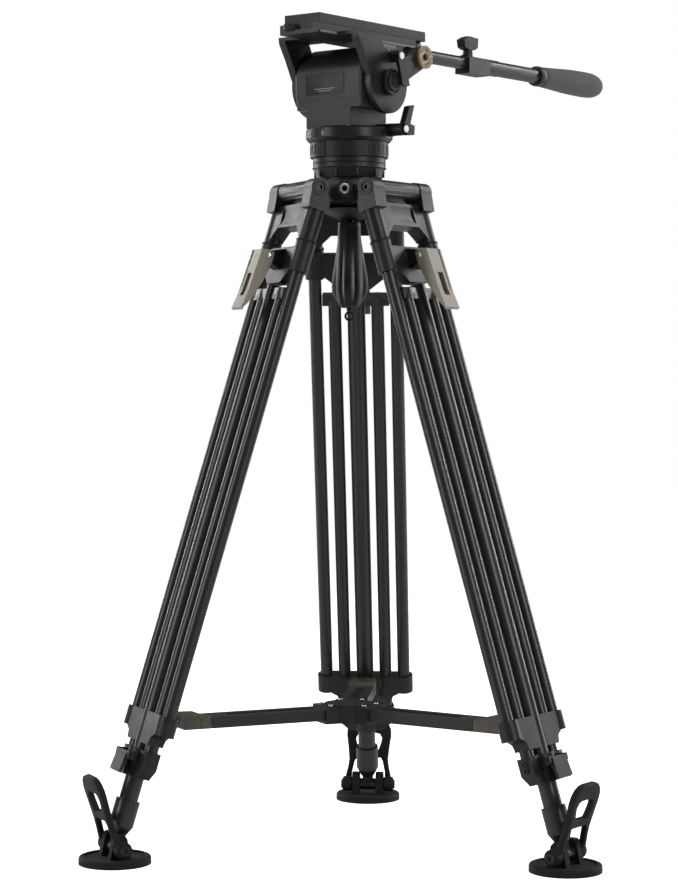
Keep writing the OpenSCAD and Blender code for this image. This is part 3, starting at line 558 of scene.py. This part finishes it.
def rubber_strap(i):
    """Moulded strap with a finger hole and two eyes that turn on the ankle axle."""
    outer, hole = strap_outline()
    made = bmesh.new()
    loops = []
    for points in (outer, hole):
        verts = [made.verts.new((0, y * MM, z * MM)) for y, z in points]
        loops.append([made.edges.new((verts[k], verts[(k + 1) % len(verts)])) for k in range(len(verts))])
    bmesh.ops.triangle_fill(made, edges=loops[0] + loops[1], use_beauty=True)
    front = bmesh.ops.extrude_face_region(made, geom=list(made.faces))
    moved = [item for item in front["geom"] if isinstance(item, bmesh.types.BMVert)]
    bmesh.ops.translate(made, verts=moved, vec=(7.6 * MM, 0, 0))
    bmesh.ops.recalc_face_normals(made, faces=made.faces)
    sharp = [e for e in made.edges if len(e.link_faces) == 2 and e.calc_face_angle() > math.radians(60)]
    bmesh.ops.bevel(made, geom=sharp, offset=1.9 * MM, segments=3, profile=0.5, affect="EDGES",
                    clamp_overlap=True)
    lean = Matrix.Translation((0.2 * MM, 0, 0)) @ Matrix.Rotation(math.radians(17), 4, "Y")
    made.transform(lean)
    for side in (-1, 1):
        eye = lathe([(3.05, 0.2), (8.6, 0.2), (9.9, 1.6), (10.0, 3.0), (10.0, 10.0), (9.9, 11.4), (8.6, 12.8),
                     (5.4, 12.8), (4.6, 12.0), (3.05, 12.0)], 40, True)
        eye.transform(facing(Matrix.Identity(4), 0, side * 21.1, 0.0, (0, side, 0)))
        copy = bpy.data.meshes.new("eye")
        eye.to_mesh(copy)
        eye.free()
        made.from_mesh(copy)
        bpy.data.meshes.remove(copy)
    ankle = joint_point(f"ankle_{i}")
    outward = ankle * Vector((1, 1, 0))
    place = axes(ankle, outward, UP)
    piece = add_piece(f"rubber_strap_{i}", made, "foot_rubber", f"strap_{i}", place, 40.0)
    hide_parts(f"foot_strap_{i}")


def dress_leg(i):
    for side in (-1, 1):
        seam_ring(i, side)
        knuckle_washer(i, side)
        lever_pin_cap(i, side)
        ankle_nut(i, side)
    block_screws(i)
    pad_tread(i)
    rubber_strap(i)


# ---------------------------------------------------------------- crown and spreader

def accessory_ring():
    """Bright threaded insert in the front of the crown."""
    port = next(m for m in frame["record"]["mounts"] if m["name"] == "accessory_port")
    ring = lathe([(3.2, -1.5), (3.2, 1.0), (3.6, 1.5), (5.4, 1.5), (6.0, 1.0), (6.2, 0.0), (6.2, -1.0),
                  (5.6, -1.5)], 48, True)
    place = facing(Matrix.Identity(4), 0, -67.5, port["pos_m"][2] / MM, (0, -1, 0))
    add_piece("accessory_port_ring", ring, "bright_ring", "crown", place)


def hub_screws():
    """Socket screws on the spreader hub, two at each arm."""
    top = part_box("spreader_hub")[1].z / MM
    for i in LEGS:
        outward = LEG[i].col[0].xyz * Vector((1, 1, 0))
        base = axes((0, 0, 0), outward, UP)
        for k, side in enumerate((-1, 1)):
            place = at(base, 31.0, side * 13.0, top - 1.15)
            add_piece(f"hub_screw_{i}_{k}", socket_screw(2.6, 1.8), "bright_ring", "spreader", place)


def arm_trim(i):
    """Raised centre strip along the top of a spreader arm, in near-black painted shade."""
    outward = LEG[i].col[0].xyz * Vector((1, 1, 0))
    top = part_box("spreader_arms")[1].z / MM
    base = axes((0, 0, 0), outward, UP)
    strip = extrude_outline(rounded_rectangle(112.0, 12.0, 3.0), 0.6, 0.2, 1)
    place = at(base, 106.0, 0, top - 0.15)
    add_piece(f"arm_strip_{i}", strip, "painted_shade_black", "spreader", place)


# ---------------------------------------------------------------- ball, handle and head

def tie_down_handle():
    """Three-lobed moulded handle under the bowl, with a hanging eye below."""
    low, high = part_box("tie_handle")
    bottom, top = low.z / MM + 18.0, high.z / MM
    rows = [(0.0, 9.0, 0.0), (0.01, 11.2, 0.6), (0.04, 12.8, 1.6), (0.09, 13.8, 4.6), (0.14, 14.8, 7.6),
            (0.19, 15.6, 9.2), (0.25, 16.0, 9.4), (0.36, 15.6, 8.8), (0.50, 15.0, 6.6), (0.66, 14.5, 3.8),
            (0.76, 14.2, 1.8), (0.84, 14.0, 0.4), (0.94, 14.0, 0.0), (0.985, 13.8, 0.0), (1.0, 12.8, 0.0)]
    made = bmesh.new()
    count, lobes = 96, 3
    rings = []
    for share, radius, lobe in rows:
        ring = []
        for k in range(count):
            angle = math.tau * k / count
            bulge = max(0.0, math.cos(lobes * (angle - math.radians(30)))) ** 1.6
            reach = (radius + lobe * bulge) * MM
            ring.append(made.verts.new((reach * math.cos(angle), reach * math.sin(angle),
                                        (bottom + share * (top - bottom)) * MM)))
        rings.append(ring)
    for lower, upper in zip(rings, rings[1:]):
        for k in range(count):
            n = (k + 1) % count
            made.faces.new((lower[k], lower[n], upper[n], upper[k]))
    made.faces.new(rings[0])
    made.faces.new(rings[-1])
    piece = add_piece("tie_down_handle", made, "black_plastic", "tie_down", None, 60.0)
    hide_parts("tie_handle")
    handle_eye(bottom)


def handle_eye(bottom):
    """Small ring on a short shank in the middle of the handle's underside."""
    count, major, minor = 32, 4.6, 1.5
    eye = bmesh.new()
    grid = [[eye.verts.new(((major + minor * math.cos(b)) * MM * math.cos(a),
                            minor * MM * math.sin(b),
                            (major + minor * math.cos(b)) * MM * math.sin(a)))
             for b in (math.tau * j / 12 for j in range(12))]
            for a in (math.tau * k / count for k in range(count))]
    for k in range(count):
        for j in range(12):
            eye.faces.new((grid[k][j], grid[(k + 1) % count][j],
                           grid[(k + 1) % count][(j + 1) % 12], grid[k][(j + 1) % 12]))
    add_piece("handle_eye", eye, "black_plastic", "tie_down",
              Matrix.Translation((0, 0, (bottom - 10.0) * MM)))
    shank = lathe([(3.4, 1.0), (3.4, -3.0), (2.4, -4.6), (2.2, -7.0), (0, -7.2)], 24)
    add_piece("handle_eye_shank", shank, "black_plastic", "tie_down",
              Matrix.Translation((0, 0, bottom * MM)))


def neck_ribs():
    """Short ribs round the neck of the half ball, and a near-black band in its flange groove as painted shade."""
    for k in range(10):
        angle = math.radians(-72) + math.tau * k / 10
        base = Matrix.Rotation(angle, 4, "Z")
        rib = extrude_outline(rounded_rectangle(3.2, 2.6, 0.6, 3), 9.6, 0.4, 2)
        place = at(base, 41.5, 0, BALL_Z + 3.6) @ Matrix.Rotation(math.radians(90), 4, "Z")
        add_piece(f"neck_rib_{k}", rib, "casting", "ball", place)
    place = Matrix.Translation((0, 0, BALL_Z * MM))
    # Near-black band standing in for the shade in the flange groove: painted shade.
    groove = lathe([(43.2, 19.6), (44.12, 19.6), (44.12, 20.9), (43.2, 20.9)], 96, True)
    add_piece("flange_groove_shade", groove, "painted_shade_black", "ball", place)
    lip = lathe([(43.0, 13.7), (44.6, 13.9), (44.9, 14.6), (44.6, 15.4), (43.0, 15.6)], 96, True)
    add_piece("flange_lip", lip, "casting", "ball", place)


def drag_ring_marks():
    """Finger ridges round the pan drag ring, left out at one notch."""
    low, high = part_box("drag_ring")
    middle = (low.z + high.z) / 2 / MM
    height = (high.z - low.z) / MM
    for k in range(36):
        angle = math.tau * (k + 0.5) / 36
        if abs((angle - math.radians(237.3) + math.pi) % math.tau - math.pi) < math.radians(13):
            continue
        bar = extrude_outline(rounded_rectangle(height - 7.0, 1.1, 0.5, 3), 0.5, 0.2, 1)
        outward = Vector((math.cos(angle), math.sin(angle), 0))
        place = axes(outward * 47.15 * MM + UP * middle * MM, UP, outward)
        add_piece(f"ring_ridge_{k}", bar, "black_plastic", "pan_drag", place)


def index_mark():
    """White pointer on the pan housing over the drag ring's notch."""
    mark = extrude_outline([(-1.1, 0), (1.1, 0), (1.1, 5.0), (-1.1, 5.0)], 0.5, 0.15, 1)
    place = facing(HEAD, -52.2, 0, BALL_Z + 51.5, (-1, 0, 0))
    add_piece("index_mark", mark, "light_metal", "pan", place)


def front_panel():
    """Blank panel with two thin stripes on the front of the tilt housing."""
    outline = rounded_rectangle(58.0, 26.0, 2.6)
    panel = extrude_outline(outline, 0.7, 0.25, 2)
    place = facing(HEAD, -42.95, 4.0, TILT_Z - 1.5, (-1, 0, 0))
    add_piece("front_panel", panel, "plate_metal", "pan", place)
    for k, (length, rise) in enumerate(((30.0, -5.6), (20.0, -8.2))):
        bar = extrude_outline(rounded_rectangle(length, 0.9, 0.4, 3), 0.25, 0.08, 1)
        spot = facing(HEAD, -43.65, 4.0, TILT_Z - 1.5 + rise, (-1, 0, 0))
        add_piece(f"panel_stripe_{k}", bar, "light_metal", "pan", spot)


def lever_dot(name, joint, out, body):
    """White domed button on the end of a lock lever's boss."""
    local = HEAD.inverted() @ joint_point(joint) / MM
    dot = lathe([(4.3, 0), (4.3, 0.6), (3.7, 1.2), (2.0, 1.7), (0, 1.9)], 36)
    place = facing(HEAD, local.x, -out, local.z, (0, -1, 0))
    add_piece(name, dot, "white_mark", body, place)


def drag_knob_face():
    """Tilt drag knob with a ribbed rim and concentric rings."""
    made = lathe([(5.1, 1.0), (15.2, 1.0), (16.0, 1.8), (16.0, 6.2), (15.2, 7.0), (13.2, 7.0), (12.8, 6.2),
                  (11.6, 6.2), (11.2, 7.2), (11.0, 8.4), (10.4, 9.0), (7.6, 9.0), (7.2, 8.2), (5.1, 8.2)],
                 120, True)
    for v in made.verts:
        if v.co.xy.length > 15.6 * MM:
            angle = math.atan2(v.co.y, v.co.x)
            v.co.xy *= 1 - 0.022 * (0.5 + 0.5 * math.cos(angle * 30))
    local = HEAD.inverted() @ joint_point("tilt_turn") / MM
    place = facing(HEAD, local.x, -SIDE_OUT, local.z, (0, -1, 0))
    piece = add_piece("drag_knob_rings", made, "black_plastic", "tilt_drag", place)
    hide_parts("drag_knob")


def platform_trim():
    """Bright lower edges of the platform's rails, and the catch at its front."""
    base_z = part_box("platform")[0].z / MM
    for side, name in ((-1, "near"), (1, "far")):
        rail = extrude_outline(rounded_rectangle(188.0, 2.2, 0.9, 3), 2.4, 0.3, 2)
        place = at(HEAD, 0.0, side * 28.6, base_z + 0.6)
        add_piece(f"rail_edge_{name}", rail, "light_metal", "tilt", place)
    outline = [(-6, -7), (5, -9), (7, -4), (7, 4), (5, 9), (-6, 7), (-8, 3), (-8, -3)]
    catch = extrude_outline(outline, 8.0, 1.4, 3)
    place = at(HEAD, -95.5, 14.0, base_z + 4.5)
    add_piece("platform_catch", catch, "black_plastic", "tilt", place)


def plate_grip_strips():
    """Two ribbed rubber strips on top of the camera plate."""
    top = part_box("camera_plate")[1].z / MM
    for k, x in enumerate((-48.0, 66.0)):
        made = bmesh.new()
        for j in range(9):
            rib = extrude_outline(rounded_rectangle(62.0, 3.2, 1.2, 3), 0.9, 0.3, 2)
            rib.transform(Matrix.Translation((0, (j - 4) * 4.6 * MM, 0)))
            copy = bpy.data.meshes.new("rib")
            rib.to_mesh(copy)
            rib.free()
            made.from_mesh(copy)
            bpy.data.meshes.remove(copy)
        add_piece(f"plate_grip_{k}", made, "foot_rubber", "plate", at(HEAD, x, 0, top - 0.15))


# ---------------------------------------------------------------- pan bar

def foam_handle():
    """Tapered foam grip with a domed end, in a moulded plastic collar."""
    local_low = HEAD.inverted() @ joint_point("bar_screw_turn") / MM
    start = 362.0
    profile = [(6.1, 0), (11.2, 0), (12.4, 0.8), (12.9, 2.4), (13.3, 8), (14.0, 22), (15.0, 40), (15.9, 56),
               (16.5, 74), (16.85, 92), (16.95, 106), (16.75, 116), (16.1, 124), (14.8, 131), (12.8, 136.6),
               (10.2, 140.6), (7.0, 143.2), (3.4, 144.5), (0, 144.8)]
    made = lathe(profile, 72)
    place = facing(HEAD, start, local_low.y, local_low.z, (1, 0, 0))
    piece = add_piece("foam_handle", made, "foam_grip", "bar_end", place, 70.0)
    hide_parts("grip")
    ring = lathe([(9.55, -13.5), (11.8, -13.5), (12.9, -12.4), (13.3, -9.0), (13.0, -3.0), (12.4, -0.6),
                  (11.6, 0.2), (9.55, 0.2)], 64, True)
    add_piece("grip_collar", ring, "black_plastic", "bar_end", place)


def screw_ridges():
    """Domed cap on the top of the bar's clamp screw."""
    low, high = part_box("clamp_screw")
    centre = (low + high) / 2
    top = high.z / MM
    base = HEAD.copy()
    base.translation = Vector((centre.x, centre.y, 0))
    cap = lathe([(5.6, -1.0), (5.6, 0.2), (4.8, 0.9), (2.6, 1.3), (0, 1.4)], 36)
    place = at(base, 0, 0, top - 0.6)
    add_piece("clamp_screw_cap", cap, "black_plastic", "bar_screw", place)


# ---------------------------------------------------------------- stage

FLOOR_HALF = 9.0
ROOM_GLOW = 0.15
FLOOR_GLOW = 0.85


def make_floor():
    made = bmesh.new()
    bmesh.ops.create_grid(made, x_segments=24, y_segments=24, size=FLOOR_HALF)
    mesh = bpy.data.meshes.new("studio_floor")
    made.to_mesh(mesh)
    made.free()
    floor = bpy.data.objects.new("studio_floor", mesh)
    bpy.context.scene.collection.objects.link(floor)
    material = bpy.data.materials.new("pale_floor")
    material.use_nodes = True
    tree = material.node_tree
    shader = tree.nodes["Principled BSDF"]
    surface = use_group(tree, "grain", 60.0)
    colour = mix_colour(tree, surface.outputs["Shade"], grey(0.93), grey(0.95))
    link(tree, colour, shader.inputs["Base Color"])
    shader.inputs["Roughness"].default_value = 0.9
    shader.inputs["Specular IOR Level"].default_value = 0.1
    seen = node(tree, "ShaderNodeLightPath").outputs["Is Camera Ray"]
    link(tree, mix_colour(tree, seen, grey(0.0), grey(FLOOR_GLOW)), shader.inputs["Emission Color"])
    shader.inputs["Emission Strength"].default_value = 1.0
    mesh.materials.append(material)


def add_light(name, place, target, size, power, tone=(1.0, 1.0, 1.0)):
    lamp = bpy.data.lights.new(name, "AREA")
    lamp.shape = "RECTANGLE"
    lamp.size, lamp.size_y = size
    lamp.energy = power
    lamp.color = tone
    made = bpy.data.objects.new(name, lamp)
    made.location = place
    made.rotation_euler = (Vector(target) - Vector(place)).to_track_quat("-Z", "Y").to_euler()
    bpy.context.scene.collection.objects.link(made)


def make_lights():
    middle = (0, 0, 0.5)
    add_light("key_right", (2.3, -2.0, 1.9), middle, (0.6, 2.2), 50)
    add_light("fill_left", (-2.6, -1.5, 1.3), middle, (0.5, 2.4), 40)
    add_light("rim_right", (2.2, 1.9, 1.5), middle, (0.4, 2.4), 48)
    add_light("rim_left", (-2.2, 1.9, 1.5), middle, (0.4, 2.4), 40)
    add_light("top_soft", (0.2, -0.3, 3.2), middle, (2.4, 2.4), 22)
    world = bpy.data.worlds.new("white_room")
    world.use_nodes = True
    tree = world.node_tree
    background = tree.nodes["Background"]
    seen = node(tree, "ShaderNodeLightPath").outputs["Is Camera Ray"]
    link(tree, mix_colour(tree, seen, grey(ROOM_GLOW), grey(1.0)), background.inputs["Color"])
    bpy.context.scene.world = world


def make_camera():
    azimuth, distance, height = math.radians(4.773), 2.9267, 0.5705
    camera = bpy.data.cameras.new("studio_camera")
    camera.lens = 97.3
    camera.sensor_width = 36.0
    camera.clip_end = 60.0
    made = bpy.data.objects.new("studio_camera", camera)
    made.location = (distance * math.sin(azimuth), -distance * math.cos(azimuth), height)
    made.rotation_euler = (math.radians(90 - 1.662), 0, azimuth + math.radians(0.245))
    bpy.context.scene.collection.objects.link(made)
    bpy.context.scene.camera = made


# ---------------------------------------------------------------- the whole scene

make_camera()
dress_cad_nodes()
for leg in LEGS:
    dress_leg(leg)
    arm_trim(leg)
accessory_ring()
hub_screws()
tie_down_handle()
neck_ribs()
drag_ring_marks()
index_mark()
front_panel()
lever_dot("pan_lock_dot", "pan_lock_turn", 75.0, "pan_lock")
lever_dot("tilt_lock_dot", "tilt_lock_turn", 74.0, "tilt_lock")
drag_knob_face()
platform_trim()
plate_grip_strips()
foam_handle()
screw_ridges()
make_floor()
make_lights()
bpy.context.scene.view_settings.view_transform = "Standard"
